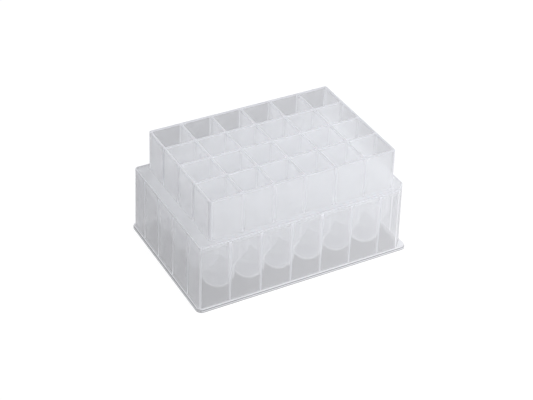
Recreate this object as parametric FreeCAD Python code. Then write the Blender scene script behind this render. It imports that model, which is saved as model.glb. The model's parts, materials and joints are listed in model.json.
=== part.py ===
import FreeCAD, Part
import math
import os

# All lengths are in millimetres and all angles in degrees. The origin is the centre of the
# underside of the foot, +X runs along the rows of wells and +Z points up out of the wells.

# Grid of wells
columns = 6
rows = 4
pitch = 18.0               # from one well centre to the next, along both rows and columns
dividing_wall = 1.2        # between neighbouring wells, at the rim
rim_wall = 1.35            # outer wall of the well block, at the rim
well_corner_radius = 0.8   # upright inside corners of a well

# Heights above the underside of the foot
total_height = 64.0
ledge_height = 40.3        # top of the shoulder around the well block
foot_height = 2.2          # top of the foot
foot_step_height = 1.1     # top of the wider lower tier of the foot
well_floor = 3.2           # lowest point inside a well

# Round end of a well: a half ball, a straight turned length and a cone out to the corners
turned_length = 13.6       # from the well floor up to the start of the cone
turned_relief = 0.1        # how far the round end stands inside the flat walls
cone_angle = 29.0          # between the cone and the axis of the well
bottom_wall = 1.1          # around the round end

# Skirt, shoulder and foot around the well block
end_margin = 9.88          # from the outermost pitch line to the end of the foot
side_margin = 6.74         # from the outermost pitch line to the side of the foot
foot_overhang = 1.15       # how far the foot stands out of the skirt
foot_step = 0.35           # how far the lower tier stands out of the upper one
foot_corner_radius = 3.2
skirt_wall = 1.2
skirt_corner_radius = 2.0
notch_leg = 5.4            # corner of the skirt cut off at 45 degrees, at +X -Y
ledge_wall = 1.2
block_corner_radius = 1.2

# Ribs between the skirt and the well block, one at each outer well centre
rib_wall = 0.9
rib_toe = 0.8              # depth of a rib at its lower end

# Drafts that let the mould open
well_draft = 0.2
block_draft = 0.6
skirt_draft = 1.0

# Rounded edges
crest_radius = 0.35        # rim of the wells
ledge_edge_radius = 0.5    # outer edge of the shoulder
ledge_root_radius = 0.4    # where the well block rises from the shoulder
foot_edge_radius = 0.2

# How far one primitive runs into another before they are joined or cut
overlap = 0.3

# How close to a height both ends of an edge must be for it to count as lying there
level_tolerance = 1e-4

half_grid_x = columns * pitch / 2
half_grid_y = rows * pitch / 2
foot_half_x = half_grid_x + end_margin
foot_half_y = half_grid_y + side_margin
rim_half_x = half_grid_x - dividing_wall / 2 + rim_wall
rim_half_y = half_grid_y - dividing_wall / 2 + rim_wall
column_centres = [(i + 0.5) * pitch - half_grid_x for i in range(columns)]
row_centres = [(j + 0.5) * pitch - half_grid_y for j in range(rows)]


def spread(height, angle):
    """How far a drafted face moves sideways over a height."""
    return height * math.tan(math.radians(angle))


def well_half_width(z):
    return (pitch - dividing_wall) / 2 - spread(total_height - z, well_draft)


def skirt_half_size(z):
    """Outer half length and half width of the skirt at a height."""
    inset = foot_overhang + spread(z, skirt_draft)
    return foot_half_x - inset, foot_half_y - inset


def block_half_size(z):
    """Outer half length and half width of the well block above the shoulder."""
    growth = spread(total_height - z, block_draft)
    return rim_half_x + growth, rim_half_y + growth


def cluster_half_size(z):
    """Outer half length and half width of the wells below the shoulder."""
    inset = spread(ledge_height - z, well_draft)
    return rim_half_x - inset, rim_half_y - inset


def outline(half_x, half_y, z, radius, notch=None):
    """Closed rectangle with round corners; notch cuts the +X -Y corner off straight."""
    corners = [(1, 1), (-1, 1), (-1, -1), (1, -1)]
    edges = []
    stops = []
    for index, (sx, sy) in enumerate(corners):
        cut = radius if notch is None or index < 3 else notch
        along_y = FreeCAD.Vector(sx * half_x, sy * (half_y - cut), z)
        along_x = FreeCAD.Vector(sx * (half_x - cut), sy * half_y, z)
        start, end = (along_y, along_x) if sx * sy > 0 else (along_x, along_y)
        if notch is not None and index == 3:
            corner = Part.LineSegment(start, end).toShape()
        else:
            bulge = radius * (1 - math.sqrt(0.5))
            middle = FreeCAD.Vector(sx * (half_x - bulge), sy * (half_y - bulge), z)
            corner = Part.Arc(start, middle, end).toShape()
        stops.append((start, end, corner))
    for index, (start, end, corner) in enumerate(stops):
        edges.append(corner)
        following = stops[(index + 1) % len(stops)][0]
        edges.append(Part.LineSegment(end, following).toShape())
    return Part.Wire(edges)


def frustum(half_size, z_low, z_high, radius, notch=None):
    """Solid between two heights whose half size at each height comes from a function."""
    low = outline(*half_size(z_low), z_low, radius, notch)
    high = outline(*half_size(z_high), z_high, radius, notch)
    return Part.makeLoft([low, high], True, True)


def slab(half_x, half_y, z_low, z_high, radius):
    base = Part.Face(outline(half_x, half_y, z_low, radius))
    return base.extrude(FreeCAD.Vector(0, 0, z_high - z_low))


def turned(radius, floor, cone_start, reach, top):
    """Bullet about the Z axis: half ball, cylinder, cone out to a reach, cylinder to a top."""
    centre = floor + radius
    cone_end = cone_start + (reach - radius) / math.tan(math.radians(cone_angle))
    bend = radius * math.sqrt(0.5)
    floor_point = FreeCAD.Vector(0, 0, floor)
    ball_point = FreeCAD.Vector(bend, 0, centre - bend)
    equator = FreeCAD.Vector(radius, 0, centre)
    points = [
        equator,
        FreeCAD.Vector(radius, 0, cone_start),
        FreeCAD.Vector(reach, 0, cone_end),
        FreeCAD.Vector(reach, 0, top),
        FreeCAD.Vector(0, 0, top),
        floor_point,
    ]
    edges = [Part.Arc(floor_point, ball_point, equator).toShape()]
    edges += [Part.LineSegment(a, b).toShape() for a, b in zip(points, points[1:])]
    face = Part.Face(Part.Wire(edges))
    return face.revolve(FreeCAD.Vector(0, 0, 0), FreeCAD.Vector(0, 0, 1), 360)


def edges_at(shape, z):
    """Edges that lie flat at a height."""
    found = []
    for edge in shape.Edges:
        box = edge.BoundBox
        if abs(box.ZMin - z) < level_tolerance and abs(box.ZMax - z) < level_tolerance:
            found.append(edge)
    return found


turned_radius = well_half_width(well_floor) - turned_relief
cone_start = well_floor + turned_length


def well_hollow():
    """Inside of one well about the Z axis, open past the rim."""
    top = total_height + overlap
    reach = well_half_width(top) * math.sqrt(2)
    prism = frustum(lambda z: (well_half_width(z), well_half_width(z)),
                    well_floor - overlap, top, well_corner_radius)
    return prism.common(turned(turned_radius, well_floor, cone_start, reach, top))


def well_cell(column, row):
    """Outside of one well below the shoulder, as far as the pitch lines or the outer wall."""
    x = column_centres[column]
    y = row_centres[row]
    x_low = x - pitch / 2 - (rim_wall if column == 0 else 0)
    x_high = x + pitch / 2 + (rim_wall if column == columns - 1 else 0)
    y_low = y - pitch / 2 - (rim_wall if row == 0 else 0)
    y_high = y + pitch / 2 + (rim_wall if row == rows - 1 else 0)
    wall_on_cone = bottom_wall / math.cos(math.radians(cone_angle))
    outer_start = cone_start - (wall_on_cone - bottom_wall) / math.tan(math.radians(cone_angle))
    reach = (pitch / 2 + rim_wall) * math.sqrt(2)
    bullet = turned(turned_radius + bottom_wall, well_floor - bottom_wall, outer_start,
                    reach, ledge_height)
    bullet.translate(FreeCAD.Vector(x, y, 0))
    corner = FreeCAD.Vector(x_low, y_low, 0)
    column_box = Part.makeBox(x_high - x_low, y_high - y_low, ledge_height, corner)
    return bullet.common(column_box)


def well_cluster():
    """Outside of all the wells below the shoulder."""
    cells = [well_cell(i, j) for i in range(columns) for j in range(rows)]
    joined = cells[0].fuse(cells[1:])
    envelope = frustum(cluster_half_size, 0, ledge_height, block_corner_radius)
    return joined.common(envelope)


def well_block():
    """Solid block above the shoulder, before the wells are cut."""
    return frustum(block_half_size, ledge_height - overlap, total_height, block_corner_radius)


def skirt_shell():
    """Shoulder and skirt: a drafted box open below, with its outer upper edge rounded."""
    shell = frustum(skirt_half_size, 0, ledge_height, skirt_corner_radius, notch_leg)
    return shell.makeFillet(ledge_edge_radius, edges_at(shell, ledge_height))


def skirt_cavity():
    """Space under the shoulder, with the skirt's own draft."""
    notch = notch_leg - skirt_wall * (2 - math.sqrt(2))
    radius = skirt_corner_radius - skirt_wall

    def inner(z):
        half_x, half_y = skirt_half_size(z)
        return half_x - skirt_wall, half_y - skirt_wall

    return frustum(inner, -overlap, ledge_height - ledge_wall, radius, notch)


def foot():
    """Two tiers around the lower edge of the skirt."""
    lower = slab(foot_half_x, foot_half_y, 0, foot_step_height, foot_corner_radius)
    lower = lower.makeFillet(foot_edge_radius, edges_at(lower, foot_step_height))
    upper = slab(foot_half_x - foot_step, foot_half_y - foot_step, 0, foot_height,
                 foot_corner_radius - foot_step)
    upper = upper.makeFillet(foot_edge_radius, edges_at(upper, foot_height))
    return lower.fuse(upper)


def rib(skirt_inner, block_outer):
    """Tapered web in the XZ plane, from a skirt at +X inwards to the well block."""
    low = foot_height
    high = ledge_height - ledge_wall
    skirt_low = skirt_inner(low)
    skirt_high = skirt_inner(high)
    points = [
        (skirt_low + overlap, low),
        (skirt_high + overlap, high + overlap),
        (block_outer - overlap, high + overlap),
        (block_outer - overlap, high),
        (skirt_low - rib_toe, low),
    ]
    corners = [FreeCAD.Vector(x, -rib_wall / 2, z) for x, z in points]
    face = Part.Face(Part.makePolygon(corners + corners[:1]))
    return face.extrude(FreeCAD.Vector(0, rib_wall, 0))


def placed(shape, x, y, turn):
    copy = shape.copy()
    copy.rotate(FreeCAD.Vector(0, 0, 0), FreeCAD.Vector(0, 0, 1), turn)
    copy.translate(FreeCAD.Vector(x, y, 0))
    return copy


def ribs():
    """One rib for each outer well centre, on all four sides."""
    ledge_under = ledge_height - ledge_wall
    end_rib = rib(lambda z: skirt_half_size(z)[0] - skirt_wall,
                  cluster_half_size(ledge_under)[0])
    side_rib = rib(lambda z: skirt_half_size(z)[1] - skirt_wall,
                   cluster_half_size(ledge_under)[1])
    placed_ribs = []
    for y in row_centres:
        placed_ribs.append(placed(end_rib, 0, y, 0))
        placed_ribs.append(placed(end_rib, 0, y, 180))
    for x in column_centres:
        placed_ribs.append(placed(side_rib, x, 0, 90))
        placed_ribs.append(placed(side_rib, x, 0, 270))
    return placed_ribs


def root_edges(form):
    """Edges where the well block rises from the shoulder, inside the shoulder's own edge."""
    block_x, block_y = block_half_size(ledge_height)
    found = []
    for edge in edges_at(form, ledge_height):
        middle = edge.CenterOfMass
        if abs(middle.x) < block_x + overlap and abs(middle.y) < block_y + overlap:
            found.append(edge)
    return found


def outer_form():
    """Shoulder, skirt, foot and solid well block, rounded where the block rises."""
    form = skirt_shell().fuse(well_block()).removeSplitter()
    return form.makeFillet(ledge_root_radius, root_edges(form)).fuse(foot())


def well_plate():
    shell = outer_form().cut(skirt_cavity())
    body = shell.fuse([well_cluster()] + ribs())
    hollow = well_hollow()
    hollows = [placed(hollow, x, y, 0) for x in column_centres for y in row_centres]
    body = body.cut(hollows).removeSplitter()
    return body.makeFillet(crest_radius, edges_at(body, total_height))


def main():
    os.makedirs("parts", exist_ok=True)
    plate = well_plate()
    plate.exportStep("parts/well_plate.step")
    print("well_plate", plate.ShapeType, len(plate.Solids), plate.isValid(), plate.Volume)


main()
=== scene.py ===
import json
import math
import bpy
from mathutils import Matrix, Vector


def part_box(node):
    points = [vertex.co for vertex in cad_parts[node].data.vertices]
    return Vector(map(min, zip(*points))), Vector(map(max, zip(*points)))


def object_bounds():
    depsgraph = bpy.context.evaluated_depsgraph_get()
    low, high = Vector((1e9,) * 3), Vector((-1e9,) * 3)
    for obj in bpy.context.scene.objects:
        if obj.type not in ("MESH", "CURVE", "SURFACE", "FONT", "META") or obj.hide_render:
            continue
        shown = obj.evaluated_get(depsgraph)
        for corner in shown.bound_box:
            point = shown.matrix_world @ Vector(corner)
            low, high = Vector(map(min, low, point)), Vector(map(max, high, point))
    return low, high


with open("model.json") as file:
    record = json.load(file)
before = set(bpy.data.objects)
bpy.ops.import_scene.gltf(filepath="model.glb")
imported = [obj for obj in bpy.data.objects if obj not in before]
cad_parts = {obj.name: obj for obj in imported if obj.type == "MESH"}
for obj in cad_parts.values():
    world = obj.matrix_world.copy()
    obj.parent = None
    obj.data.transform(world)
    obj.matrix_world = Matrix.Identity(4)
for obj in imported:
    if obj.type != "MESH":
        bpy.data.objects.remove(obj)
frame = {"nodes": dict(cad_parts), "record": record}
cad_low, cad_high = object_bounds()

from types import SimpleNamespace

import bpy
from mathutils import Matrix, Vector

# Blender's own unit is the metre. Places on the moulding are worked out in millimetres, as on
# a drawing.
MM = 0.001

PLATE = "well_plate"

# Walls and features of the moulding, in millimetres, as in part.py
DIVIDING_WALL = 1.2
RIM_WALL = 1.35
LEDGE_HEIGHT = 40.3
FOOT_HEIGHT = 2.2
FOOT_STEP_HEIGHT = 1.1
FOOT_OVERHANG = 1.15
NOTCH_LEG = 5.4
WELL_DRAFT = math.tan(math.radians(0.2))
BLOCK_DRAFT = math.tan(math.radians(0.6))
SKIRT_DRAFT = math.tan(math.radians(1.0))


# ---------------------------------------------------------------- sizes read from the frame

def grid_of_wells(record):
    """Pitch and half extents, in millimetres, of the grid that the stated openings stand on."""
    centres = set()
    for opening in record["physics"]["openings"]:
        low, high = opening["box_m"]
        centres.add(tuple(round((low[k] + high[k]) / 2 / MM, 3) for k in (0, 1)))
    across = sorted({x for x, y in centres})
    along = sorted({y for x, y in centres})
    pitch = across[1] - across[0]
    return pitch, across[-1] + pitch / 2, along[-1] + pitch / 2


pitch, grid_x, grid_y = grid_of_wells(frame["record"])
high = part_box(PLATE)[1]
top = high.z / MM
block_x = grid_x - DIVIDING_WALL / 2 + RIM_WALL
block_y = grid_y - DIVIDING_WALL / 2 + RIM_WALL
skirt_x = high.x / MM - FOOT_OVERHANG
skirt_y = high.y / MM - FOOT_OVERHANG


# ---------------------------------------------------------------- node trees

# Sockets of the Mix node that carry colours
FIRST_COLOUR = 6
SECOND_COLOUR = 7
MIXED_COLOUR = 2


class Graph:
    """Short calls for building one node tree."""

    def __init__(self, owner):
        owner.use_nodes = True
        self.tree = owner.node_tree
        self.tree.nodes.clear()

    def add(self, kind, **settings):
        made = self.tree.nodes.new(kind)
        for name, value in settings.items():
            setattr(made, name, value)
        return made

    def put(self, socket, value):
        """A socket takes another node's output or a plain value."""
        if isinstance(value, bpy.types.NodeSocket):
            self.tree.links.new(value, socket)
        else:
            socket.default_value = value

    def math(self, operation, *values):
        made = self.add("ShaderNodeMath", operation=operation)
        for socket, value in zip(made.inputs, values):
            self.put(socket, value)
        return made.outputs[0]

    def chain(self, operation, values):
        result = values[0]
        for value in values[1:]:
            result = self.math(operation, result, value)
        return result

    def total(self, *values):
        return self.chain("ADD", values)

    def product(self, *values):
        return self.chain("MULTIPLY", values)

    def minus(self, first, second):
        return self.math("SUBTRACT", first, second)

    def least(self, *values):
        return self.chain("MINIMUM", values)

    def most(self, *values):
        return self.chain("MAXIMUM", values)

    # A mask is 1 on a feature and 0 away from it.
    both = product
    either = most

    def under(self, value, limit, soft):
        """1 where a value is under a limit, fading to 0 over a soft width past it."""
        made = self.add("ShaderNodeMapRange")
        self.put(made.inputs["Value"], self.minus(value, limit))
        made.inputs["From Min"].default_value = soft
        made.inputs["From Max"].default_value = 0.0
        return made.outputs["Result"]

    def over(self, value, limit, soft):
        """1 where a value is over a limit, fading to 0 over a soft width below it."""
        made = self.add("ShaderNodeMapRange")
        self.put(made.inputs["Value"], value)
        made.inputs["From Min"].default_value = limit - soft
        made.inputs["From Max"].default_value = limit
        return made.outputs["Result"]

    def mix(self, factor, first, second):
        made = self.add("ShaderNodeMixShader")
        self.put(made.inputs[0], factor)
        self.put(made.inputs[1], first)
        self.put(made.inputs[2], second)
        return made.outputs[0]

    def noise(self, vector, scale, detail):
        made = self.add("ShaderNodeTexNoise")
        self.put(made.inputs["Vector"], vector)
        made.inputs["Scale"].default_value = scale
        made.inputs["Detail"].default_value = detail
        return made.outputs["Fac"]

    def blend(self, factor, first, second):
        """A colour between two others."""
        made = self.add("ShaderNodeMix", data_type="RGBA")
        self.put(made.inputs["Factor"], factor)
        self.put(made.inputs[FIRST_COLOUR], first)
        self.put(made.inputs[SECOND_COLOUR], second)
        return made.outputs[MIXED_COLOUR]


# ---------------------------------------------------------------- places on the moulding

# All in millimetres
SOFT = 0.12            # how far the edge of a line takes to fade
NEAR = 0.3             # how close to an outer face a point counts as standing on it
CLEAR_OF_LEDGE = 0.3   # how far above the shoulder the lines of the block start
UNDER_LEDGE = 1.0      # how far below the shoulder's top the lines of the skirt end
CREST_DEPTH = 0.35
CREST_FADE = 0.25
LONG_SEAM = 0.45       # half widths of the block's seams
SHORT_SEAM = 0.55
RIB_LINE = 0.45        # half width of a rib's line at the bench
RIB_GROWTH = 0.008     # and what it gains with each millimetre of height
CORNER_REACH = 1.05
NOTCH_LINE = 0.4
LEDGE_LINE = 0.45
LEDGE_REACH = 0.5
FOOT_SIDE = 0.6        # how far outside the skirt the foot's side starts
LOWER_TIER_SIDE = 0.9
UPPER_TIER_LINE = 0.65
UPPER_TIER_ROUND = 0.1
FOOT_TOP_REACH = 0.2
LOWER_TIER_DROP = 0.3
LOWER_TIER_LINE = 0.2
# Where the painted shade lines on the foot lie
PAINTED_SHADE_RISE = 0.12
PAINTED_SHADE_LINE = 0.1
POST_REACH = 0.3
POST_START = 4.0       # above the shoulder
POST_FADE = 4.0
BLOCK_CORNER = 0.5
BOWL_TOP = 4.0
BOWL_FADE = 8.0
BOWL_DEPTH = 3.0       # inside the skirt's outer face
BOWL_SOFT = 0.5
# How far up and in the painted highlight low on the skirt reaches
LOW_FADE = 6.0         # above the foot
LOW_DEPTH = 1.5        # takes in both faces of the skirt
LOW_SOFT = 0.3

ON_FOOT_TOP = 0.4      # strength of the line on the foot's narrow top


def line(g, distance, half_width):
    """1 within half a width of where a distance is 0."""
    return g.under(g.math("ABSOLUTE", distance), half_width, SOFT)


def measure(g, position):
    """How far, in millimetres, a point stands from the main faces and lines of the moulding."""
    scaled = g.add("ShaderNodeVectorMath", operation="SCALE")
    g.put(scaled.inputs[0], position)
    scaled.inputs["Scale"].default_value = 1 / MM
    split = g.add("ShaderNodeSeparateXYZ")
    g.put(split.inputs[0], scaled.outputs[0])
    x, y, z = split.outputs
    at = SimpleNamespace(z=z)
    far_x = g.math("ABSOLUTE", x)
    far_y = g.math("ABSOLUTE", y)
    at.down = g.minus(top, z)

    # from the nearest dividing wall, and from the nearest line through the well centres
    at.wall_x = g.math("PINGPONG", x, pitch / 2)
    at.wall_y = g.math("PINGPONG", y, pitch / 2)
    at.middle_x = g.minus(pitch / 2, at.wall_x)
    at.middle_y = g.minus(pitch / 2, at.wall_y)

    # inwards from the drafted outer faces of the block, of the skirt and of its cut corners
    growth = g.product(at.down, BLOCK_DRAFT)
    inset = g.product(at.z, SKIRT_DRAFT)
    at.in_block_x = g.minus(g.total(growth, block_x), far_x)
    at.in_block_y = g.minus(g.total(growth, block_y), far_y)
    at.in_skirt_x = g.minus(g.minus(skirt_x, inset), far_x)
    at.in_skirt_y = g.minus(g.minus(skirt_y, inset), far_y)
    at.by_notch = g.both(g.over(x, 0.0, SOFT), g.under(y, 0.0, SOFT))
    away = g.product(g.minus(1.0, at.by_notch), 2 * skirt_x)
    in_notch = g.total(g.minus(g.total(at.in_skirt_x, at.in_skirt_y), NOTCH_LEG), away)
    at.depth = g.least(at.in_skirt_x, at.in_skirt_y, in_notch)

    at.above_ledge = g.over(z, LEDGE_HEIGHT + CLEAR_OF_LEDGE, SOFT)
    at.below_ledge = g.under(z, LEDGE_HEIGHT - UNDER_LEDGE, SOFT)
    at.above_foot = g.over(z, FOOT_HEIGHT, SOFT)
    return at


def crest(g, at):
    """The top edge of every wall."""
    return g.over(at.z, top - CREST_DEPTH, CREST_FADE)


def block_seams(g, at):
    """Upright lines on the block's outside, where the dividing walls meet it.

    The first mask is for the two long sides, the second for the two short ones.
    """
    behind_long = line(g, at.wall_x, LONG_SEAM)
    behind_short = line(g, at.wall_y, SHORT_SEAM)
    on_long = g.both(at.above_ledge, line(g, at.in_block_y, NEAR), behind_long)
    on_short = g.both(at.above_ledge, line(g, at.in_block_x, NEAR), behind_short)
    return on_long, on_short


def skirt_ribs(g, at):
    """Upright lines on the skirt's outside, where the ribs stand behind it.

    The first mask is for the two long sides, the second for the two short ones.
    """
    reach = g.total(RIB_LINE, g.product(at.z, RIB_GROWTH))
    wall = g.both(at.below_ledge, at.above_foot)
    behind_long = line(g, at.middle_x, reach)
    behind_short = line(g, at.middle_y, reach)
    on_long = g.both(wall, line(g, at.in_skirt_y, NEAR), behind_long)
    on_short = g.both(wall, line(g, at.in_skirt_x, NEAR), behind_short)
    return on_long, on_short


def skirt_corners(g, at):
    """The skirt's upright corners, and the two edges of its cut corner."""
    square = g.under(g.either(at.in_skirt_x, at.in_skirt_y), CORNER_REACH, SOFT)
    from_long = g.minus(at.in_skirt_x, NOTCH_LEG)
    from_short = g.minus(at.in_skirt_y, NOTCH_LEG)
    on_long = g.both(line(g, at.in_skirt_y, NEAR), line(g, from_long, NOTCH_LINE))
    on_short = g.both(line(g, at.in_skirt_x, NEAR), line(g, from_short, NOTCH_LINE))
    cut = g.both(at.by_notch, g.either(on_long, on_short))
    return g.both(at.above_foot, g.either(square, cut))


def ledge_edge(g, at):
    """The outer edge of the shoulder."""
    level = line(g, g.minus(at.z, LEDGE_HEIGHT), LEDGE_LINE)
    return g.both(level, g.under(at.depth, LEDGE_REACH, SOFT))


def foot_lines(g, at):
    """The thick edges of the foot's two tiers, with a weaker line on its narrow top."""
    upper_start = g.over(at.z, FOOT_HEIGHT - UPPER_TIER_LINE, SOFT)
    upper_end = g.under(at.z, FOOT_HEIGHT + UPPER_TIER_ROUND, SOFT)
    side = g.under(at.depth, -FOOT_SIDE, SOFT)
    on_top = g.product(g.under(at.depth, FOOT_TOP_REACH, SOFT), ON_FOOT_TOP)
    upper = g.both(upper_start, upper_end, g.either(side, on_top))
    lower_level = line(g, g.minus(at.z, FOOT_STEP_HEIGHT - LOWER_TIER_DROP), LOWER_TIER_LINE)
    lower = g.both(lower_level, g.under(at.depth, -LOWER_TIER_SIDE, SOFT))
    return g.either(upper, lower)


def foot_painted_shade(g, at):
    """The root of the foot's upper tier and the foot's lowest edge, which get a dark line of
    painted shade.
    """
    root = line(g, g.minus(at.z, FOOT_STEP_HEIGHT + PAINTED_SHADE_RISE), PAINTED_SHADE_LINE)
    lowest = g.under(at.z, PAINTED_SHADE_LINE, SOFT)
    return g.both(g.either(root, lowest), g.under(at.depth, -FOOT_SIDE, SOFT))


def posts(g, at):
    """Where two dividing walls cross, and the block's outer corners."""
    reach = g.total(g.product(at.down, WELL_DRAFT), DIVIDING_WALL / 2 + POST_REACH)
    crossing = g.math("LESS_THAN", g.either(at.wall_x, at.wall_y), reach)
    high_enough = g.over(at.z, LEDGE_HEIGHT + POST_START, POST_FADE)
    corner = g.under(g.either(at.in_block_x, at.in_block_y), BLOCK_CORNER, SOFT)
    return g.either(g.both(high_enough, crossing), g.both(at.above_ledge, corner))


def bowls(g, at):
    """The lowest part of the wells' round ends, standing free inside the skirt."""
    return g.both(g.under(at.z, BOWL_TOP, BOWL_FADE), g.over(at.depth, BOWL_DEPTH, BOWL_SOFT))


def low_skirt_painted_highlight(g, at):
    """The lowest part of the skirt's wall, made hazier as a painted soft highlight just above the
    foot.
    """
    return g.both(g.under(at.z, FOOT_HEIGHT, LOW_FADE), g.under(at.depth, LOW_DEPTH, LOW_SOFT))


def skirt_ends_painted_veil(g, at):
    """The outside of the skirt's two short sides, made hazier as a painted grey veil of
    reflection.
    """
    return g.both(at.below_ledge, at.above_foot, line(g, at.in_skirt_x, NEAR))


def block_ends(g, at):
    """The outside of the block's two short sides, which is made hazier too."""
    return g.both(at.above_ledge, line(g, at.in_block_x, NEAR))


# ---------------------------------------------------------------- natural polypropylene

WALL_COLOUR = (0.982, 0.985, 0.992, 1)
EDGE_COLOUR = (0.895, 0.900, 0.915, 1)
CREST_COLOUR = (0.858, 0.863, 0.879, 1)
# Painted shade: the dark colour of the lines at the foot's groove and lowest edge
PAINTED_SHADE_COLOUR = (0.40, 0.40, 0.41, 1)
INNER_COLOUR = (0.993, 0.995, 0.998, 1)

# How much of the light a surface scatters. The rest goes straight through it.
HAZE = 0.11            # a plain wall
HAZE_CLOUD = 0.04      # most that its faint clouding adds
HAZE_ABOVE = 0.15      # what the thicker walls of the block add
# Painted highlight: the lowest part of the skirt is made hazier, brightening it just above the
# foot
HAZE_PAINTED_LOW_HIGHLIGHT = 0.04        # what the lowest part of the skirt adds

# What a line or an area adds to that
# Painted reflection: the skirt's short sides get a hazier grey veil
HAZE_SKIRT_ENDS_PAINTED_VEIL = 0.20
HAZE_BLOCK_ENDS = 0.12
HAZE_CREST = 0.50
HAZE_SHORT_SIDE = 0.75
HAZE_LONG_SIDE = 0.50
HAZE_CORNER = 0.66
HAZE_FOOT = 0.70
# How much of the painted shade lines on the foot shows
HAZE_PAINTED_SHADE = 0.48
HAZE_POST = 0.26
HAZE_BOWL = 0.06

BLOCK_START = 39.0     # height in millimetres at which the block is at its full haze
BLOCK_FADE = 4.0

PASSES_ON = 0.32       # share of the scattered light that goes on to the wall's other side
DENSITY = 80.0         # scattering inside the plastic, per metre

REFRACTION = 1.49
GLOSS = 0.34           # share of a clear surface's reflection that is kept
GLOSS_LIMIT = 0.15
ROUGHNESS = 0.22
ROUGHNESS_CLOUD = 0.16

# Clouding and grain: waves per metre and how many finer ones they carry
CLOUD_SCALE = 55.0
CLOUD_DETAIL = 3.0
GRAIN_SCALE = 2600.0
GRAIN_DETAIL = 2.0
GRAIN_STRENGTH = 0.08
GRAIN_HEIGHT = 0.00005 # in metres


def haze_and_colour(g, at, outside, cloud):
    """How much of the light each point scatters, and the colour that it scatters."""
    top_edge = crest(g, at)
    post = posts(g, at)
    long_ribs, short_ribs = skirt_ribs(g, at)
    long_seams, short_seams = block_seams(g, at)
    on_short_side = g.either(short_seams, short_ribs)
    on_long_side = g.either(ledge_edge(g, at), long_seams, long_ribs)
    # Painted shade along the foot's groove and lowest edge
    painted_shade = g.both(foot_painted_shade(g, at), outside)
    lines = ((top_edge, HAZE_CREST),
             (on_short_side, HAZE_SHORT_SIDE),
             (on_long_side, HAZE_LONG_SIDE),
             (skirt_corners(g, at), HAZE_CORNER),
             (g.both(foot_lines(g, at), outside), HAZE_FOOT),
             (painted_shade, HAZE_PAINTED_SHADE),
             (post, HAZE_POST),
             (skirt_ends_painted_veil(g, at), HAZE_SKIRT_ENDS_PAINTED_VEIL),
             (block_ends(g, at), HAZE_BLOCK_ENDS),
             (bowls(g, at), HAZE_BOWL))
    added = g.most(*(g.product(mask, share) for mask, share in lines))
    block = g.over(at.z, BLOCK_START, BLOCK_FADE)
    haze = g.total(g.product(cloud, HAZE_CLOUD), HAZE, g.product(block, HAZE_ABOVE),
                   g.product(low_skirt_painted_highlight(g, at), HAZE_PAINTED_LOW_HIGHLIGHT), added)
    colour = g.blend(g.either(post, on_long_side), WALL_COLOUR, EDGE_COLOUR)
    colour = g.blend(top_edge, colour, CREST_COLOUR)
    return haze, g.blend(painted_shade, colour, PAINTED_SHADE_COLOUR)


def scattering(g, haze, colour):
    """The part of a surface that is clear, and the part that scatters to both its sides."""
    lit = g.add("ShaderNodeBsdfDiffuse")
    g.put(lit.inputs["Color"], colour)
    through = g.add("ShaderNodeBsdfTranslucent")
    g.put(through.inputs["Color"], colour)
    clear = g.add("ShaderNodeBsdfTransparent")
    return g.mix(haze, clear.outputs[0], g.mix(PASSES_ON, lit.outputs[0], through.outputs[0]))


def satin(g, position, outside, cloud):
    """How much a surface mirrors, and the fine-grained mirror itself."""
    bump = g.add("ShaderNodeBump")
    bump.inputs["Strength"].default_value = GRAIN_STRENGTH
    bump.inputs["Distance"].default_value = GRAIN_HEIGHT
    g.put(bump.inputs["Height"], g.noise(position, GRAIN_SCALE, GRAIN_DETAIL))
    shine = g.add("ShaderNodeBsdfGlossy")
    g.put(shine.inputs["Roughness"], g.total(ROUGHNESS, g.product(cloud, ROUGHNESS_CLOUD)))
    g.put(shine.inputs["Normal"], bump.outputs[0])
    fresnel = g.add("ShaderNodeFresnel")
    fresnel.inputs["IOR"].default_value = REFRACTION
    gloss = g.least(g.product(fresnel.outputs[0], outside, GLOSS), GLOSS_LIMIT)
    return gloss, shine.outputs[0]


def polypropylene():
    material = bpy.data.materials.new("natural_polypropylene")
    g = Graph(material)
    position = g.add("ShaderNodeTexCoord").outputs["Object"]
    outside = g.minus(1.0, g.add("ShaderNodeNewGeometry").outputs["Backfacing"])
    cloud = g.noise(position, CLOUD_SCALE, CLOUD_DETAIL)
    haze, colour = haze_and_colour(g, measure(g, position), outside, cloud)
    gloss, shine = satin(g, position, outside, cloud)

    inner = g.add("ShaderNodeVolumeScatter")
    inner.inputs["Color"].default_value = INNER_COLOUR
    inner.inputs["Density"].default_value = DENSITY
    inner.inputs["Anisotropy"].default_value = 0.0
    output = g.add("ShaderNodeOutputMaterial")
    g.put(output.inputs["Surface"], g.mix(gloss, scattering(g, haze, colour), shine))
    g.put(output.inputs["Volume"], inner.outputs[0])
    return material


plate = frame["nodes"][PLATE]
for slot in plate.material_slots:
    slot.material = polypropylene()


# ---------------------------------------------------------------- floor and light

WHITE = 0.9            # part of the white floor that needs no light
SHADE = 0.15           # colour of the rest of it, which takes the shadow
PALE = 0.92            # colour of the floor as it lights the plastic
# Painted shade: the floor's colour is darker left of the plate
PALE_PAINTED_SHADE_LEFT = 0.34       # and left of the plate, where the studio is darker
SEEN_THROUGH = 0.29    # how bright the surround looks through the plastic

# How bright the floor looks through the plastic, a painted glow: it falls off to the left and to
# the back.
PAINTED_FLOOR_GLOW = (0.965, 0.965, 1.0, 1)
FLOOR_MIDDLE = 0.40
FLOOR_PER_METRE_RIGHT = 1.1
FLOOR_PER_METRE_BACK = -0.7
FLOOR_DARKEST = 0.26
FLOOR_BRIGHTEST = 0.62

# In metres. The floor lies a tenth of a millimetre low, so that it doesn't touch the plate.
FLOOR_SIZE = 8
FLOOR_DROP = 0.0001

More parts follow.
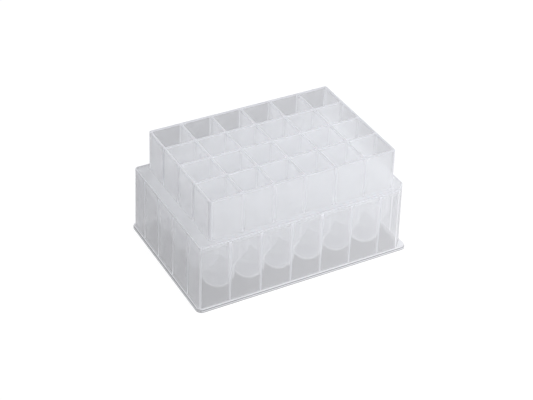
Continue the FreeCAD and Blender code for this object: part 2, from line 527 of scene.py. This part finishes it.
# The studio light is nearly even, and comes a little more from the right and from the front.
LIGHT_COLOUR = (0.949, 0.958, 1.0, 1)
LIGHT = 0.895
LIGHT_RIGHT = 0.30
LIGHT_LEFT = 0.38      # what it loses to the left
LIGHT_FRONT = 0.12
LIGHT_UP = 0.05


# More clear faces than this mean plastic: a wall has two, and the floor's underside is one.
FACES_WITHOUT_PLASTIC = 1.5


def seen_through(g):
    """Two masks: what is seen with no plastic in between, and what is seen through plastic."""
    path = g.add("ShaderNodeLightPath")
    first = g.math("LESS_THAN", path.outputs["Transparent Depth"], FACES_WITHOUT_PLASTIC)
    mirror = g.either(path.outputs["Is Glossy Ray"], path.outputs["Is Transmission Ray"])
    direct = g.either(g.both(path.outputs["Is Camera Ray"], first), mirror)
    behind = g.both(path.outputs["Is Camera Ray"], g.minus(1.0, first))
    return direct, behind


def split_axes(g, vector):
    split = g.add("ShaderNodeSeparateXYZ")
    g.put(split.inputs[0], vector)
    return split.outputs


def floor_material():
    material = bpy.data.materials.new("pale_floor")
    g = Graph(material)
    geometry = g.add("ShaderNodeNewGeometry")
    direct, behind = seen_through(g)
    glow = g.add("ShaderNodeEmission")
    glow.inputs["Strength"].default_value = WHITE
    shaded = g.add("ShaderNodeBsdfDiffuse")
    shaded.inputs["Color"].default_value = (SHADE, SHADE, SHADE, 1)
    white = g.add("ShaderNodeAddShader")
    g.put(white.inputs[0], glow.outputs[0])
    g.put(white.inputs[1], shaded.outputs[0])

    x, y, _ = split_axes(g, geometry.outputs["Position"])
    # Painted shade on the floor's left, fading out across the plate
    painted_floor_shade_fade = g.over(x, cad_low.x / 2, -cad_low.x)
    pale = g.add("ShaderNodeBsdfDiffuse")
    painted_floor_shade = (PALE_PAINTED_SHADE_LEFT, PALE_PAINTED_SHADE_LEFT, PALE_PAINTED_SHADE_LEFT, 1)
    g.put(pale.inputs["Color"], g.blend(painted_floor_shade_fade, painted_floor_shade, (PALE, PALE, PALE, 1)))
    # Painted pool of light on the floor seen through the plastic, brighter to the right and the
    # front
    painted_glow_slope = g.total(g.product(x, FLOOR_PER_METRE_RIGHT), g.product(y, FLOOR_PER_METRE_BACK))
    level = g.least(g.most(g.total(painted_glow_slope, FLOOR_MIDDLE), FLOOR_DARKEST), FLOOR_BRIGHTEST)
    dim = g.add("ShaderNodeEmission")
    dim.inputs["Color"].default_value = PAINTED_FLOOR_GLOW
    g.put(dim.inputs["Strength"], level)

    shown = g.mix(direct, g.mix(behind, pale.outputs[0], dim.outputs[0]), white.outputs[0])
    clear = g.add("ShaderNodeBsdfTransparent")
    output = g.add("ShaderNodeOutputMaterial")
    g.put(output.inputs["Surface"], g.mix(geometry.outputs["Backfacing"], shown, clear.outputs[0]))
    return material


def floor():
    bpy.ops.mesh.primitive_plane_add(size=FLOOR_SIZE, location=(0, 0, -FLOOR_DROP))
    made = bpy.context.object
    made.name = "floor"
    made.data.materials.append(floor_material())


def surround():
    world = bpy.data.worlds.new("studio")
    bpy.context.scene.world = world
    g = Graph(world)
    x, y, z = split_axes(g, g.add("ShaderNodeTexCoord").outputs["Generated"])
    light = g.add("ShaderNodeBackground")
    light.inputs["Color"].default_value = LIGHT_COLOUR
    right = g.product(g.most(x, 0.0), LIGHT_RIGHT)
    left = g.product(g.least(x, 0.0), LIGHT_LEFT)
    front = g.product(y, -LIGHT_FRONT)
    g.put(light.inputs["Strength"], g.total(LIGHT, right, left, front, g.product(z, LIGHT_UP)))
    direct, behind = seen_through(g)
    white = g.add("ShaderNodeBackground")
    dim = g.add("ShaderNodeBackground")
    for plain_light in (white, dim):
        plain_light.inputs["Color"].default_value = (1, 1, 1, 1)
    dim.inputs["Strength"].default_value = SEEN_THROUGH
    plain = g.mix(behind, light.outputs[0], dim.outputs[0])
    output = g.add("ShaderNodeOutputWorld")
    g.put(output.inputs["Surface"], g.mix(direct, plain, white.outputs[0]))


def soft_lamp(name, place, size, power):
    """A square lamp that points at the middle of the plate."""
    data = bpy.data.lights.new(name, "AREA")
    data.size = size
    data.energy = power
    lamp = bpy.data.objects.new(name, data)
    bpy.context.collection.objects.link(lamp)
    lamp.location = place
    aim = Vector((0, 0, high.z / 2)) - Vector(place)
    lamp.rotation_euler = aim.to_track_quat("-Z", "Y").to_euler()


floor()
surround()
soft_lamp("overhead", place=(0.25, 0.3, 0.9), size=0.9, power=0.5)
soft_lamp("right_side", place=(0.9, -0.45, 0.45), size=0.6, power=1.2)


# ---------------------------------------------------------------- camera

AZIMUTH = math.radians(-29.409)
ELEVATION = math.radians(35.380)
ROLL = math.radians(2.023)
DISTANCE = 0.75402
AIM_HEIGHT = 0.030
SHIFT_RIGHT = -0.00165
SHIFT_UP = -0.00393
SENSOR = 36.0
LENS = 93.576


def camera():
    data = bpy.data.cameras.new("camera")
    data.sensor_width = SENSOR
    data.lens = LENS
    made = bpy.data.objects.new("camera", data)
    bpy.context.collection.objects.link(made)
    back = Vector((math.sin(AZIMUTH) * math.cos(ELEVATION),
                   -math.cos(AZIMUTH) * math.cos(ELEVATION),
                   math.sin(ELEVATION)))
    right = Vector((math.cos(AZIMUTH), math.sin(AZIMUTH), 0))
    up = back.cross(right)
    place = back * DISTANCE + right * SHIFT_RIGHT + up * SHIFT_UP + Vector((0, 0, AIM_HEIGHT))
    rolled_right = math.cos(ROLL) * right + math.sin(ROLL) * up
    rolled_up = math.cos(ROLL) * up - math.sin(ROLL) * right
    turned = Matrix((rolled_right, rolled_up, back)).transposed().to_4x4()
    turned.translation = place
    made.matrix_world = turned
    bpy.context.scene.camera = made


camera()

# Light crosses many clear walls and scatters many times before it leaves the moulding.
WALLS_CROSSED = 128
SCATTERINGS = 24
BOUNCES = 32

scene = bpy.context.scene
scene.view_settings.view_transform = "Standard"
scene.cycles.transparent_max_bounces = WALLS_CROSSED
scene.cycles.diffuse_bounces = SCATTERINGS
scene.cycles.volume_bounces = SCATTERINGS
scene.cycles.max_bounces = BOUNCES
